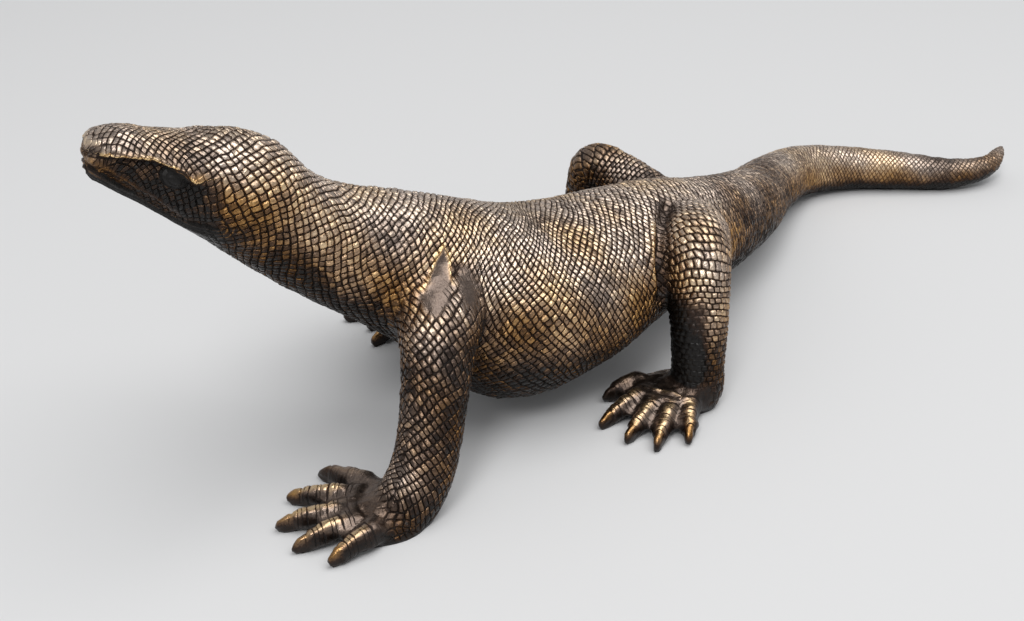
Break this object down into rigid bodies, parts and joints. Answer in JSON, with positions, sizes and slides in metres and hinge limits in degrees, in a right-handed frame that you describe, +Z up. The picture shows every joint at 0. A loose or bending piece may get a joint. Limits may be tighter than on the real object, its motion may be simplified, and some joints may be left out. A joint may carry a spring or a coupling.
{
  "type": "komodo dragon figurine",
  "caption": "Cast bronze komodo dragon figurine, one scaly piece standing on its own feet, with a raised head and a curved tail that lies on the ground.",
  "frame": {"origin": "under the middle of the figurine, on the surface that its feet stand on", "axes": "+X from nose to tail, -Y on its left side, +Z up"},
  "size_m": [0.3024, 0.1031, 0.0901],
  "materials": {
    "bronze": "dark brown patinated cast bronze, scaled all over and rubbed to a dull gold on its high places"
  },
  "bodies": {
    "root": {"komodo_dragon": "bronze"}
  },
  "joints": []
}
